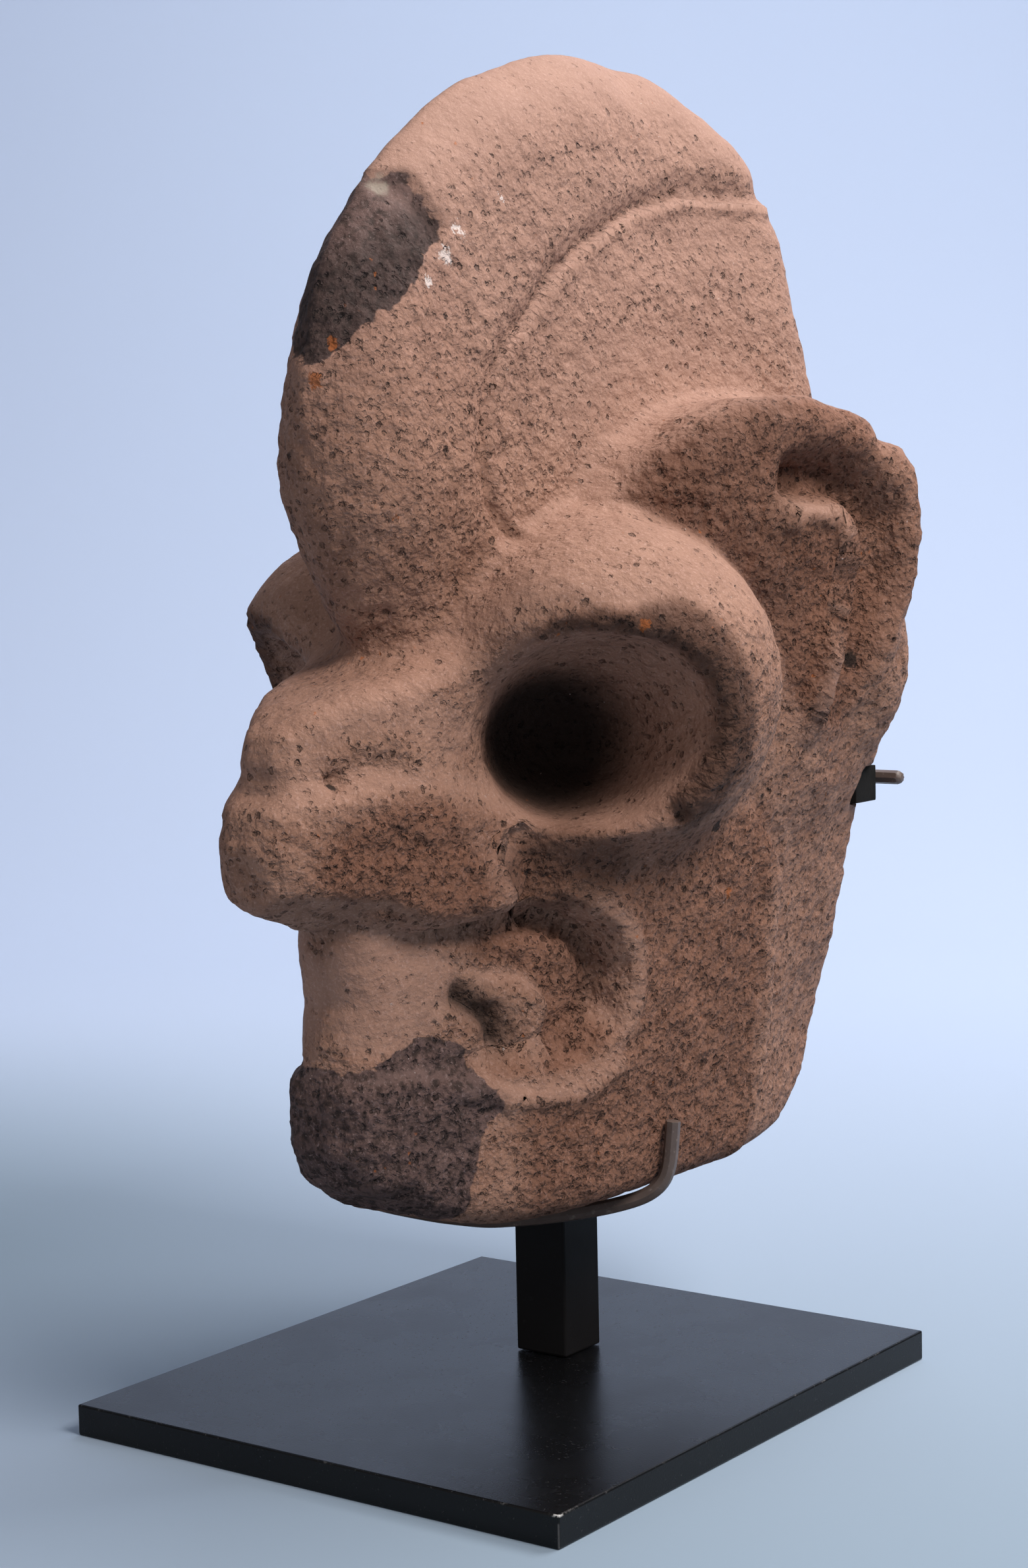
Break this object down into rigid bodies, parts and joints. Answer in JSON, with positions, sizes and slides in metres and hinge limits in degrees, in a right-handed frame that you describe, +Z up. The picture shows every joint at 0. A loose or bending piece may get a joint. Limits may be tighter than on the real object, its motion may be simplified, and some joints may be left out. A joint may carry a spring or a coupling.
{
  "type": "carved stone hacha on display mount",
  "caption": "Thin crested stone head with round eye sockets, ears and an open scrolled mouth, held by a rod cradle on a square post and flat black plate.",
  "frame": {"origin": "middle of the base plate's underside", "axes": "+Z up along the post, -Y the way the carved face looks, +X the head's own left side"},
  "size_m": [0.1778, 0.2564, 0.4155],
  "materials": {
    "volcanic_stone": "porous carved volcanic stone, warm brown, with dark stains",
    "black_paint": "satin black paint on steel",
    "brown_paint": "matt brown paint toned to the stone",
    "black_rubber": "matt black rubber"
  },
  "bodies": {
    "root": {"stone_hacha": "volcanic_stone", "base_plate": "black_paint", "mount_post": "black_paint", "cradle_rod": "brown_paint", "back_arm_rod": "brown_paint", "back_pad": "black_rubber"}
  },
  "joints": []
}
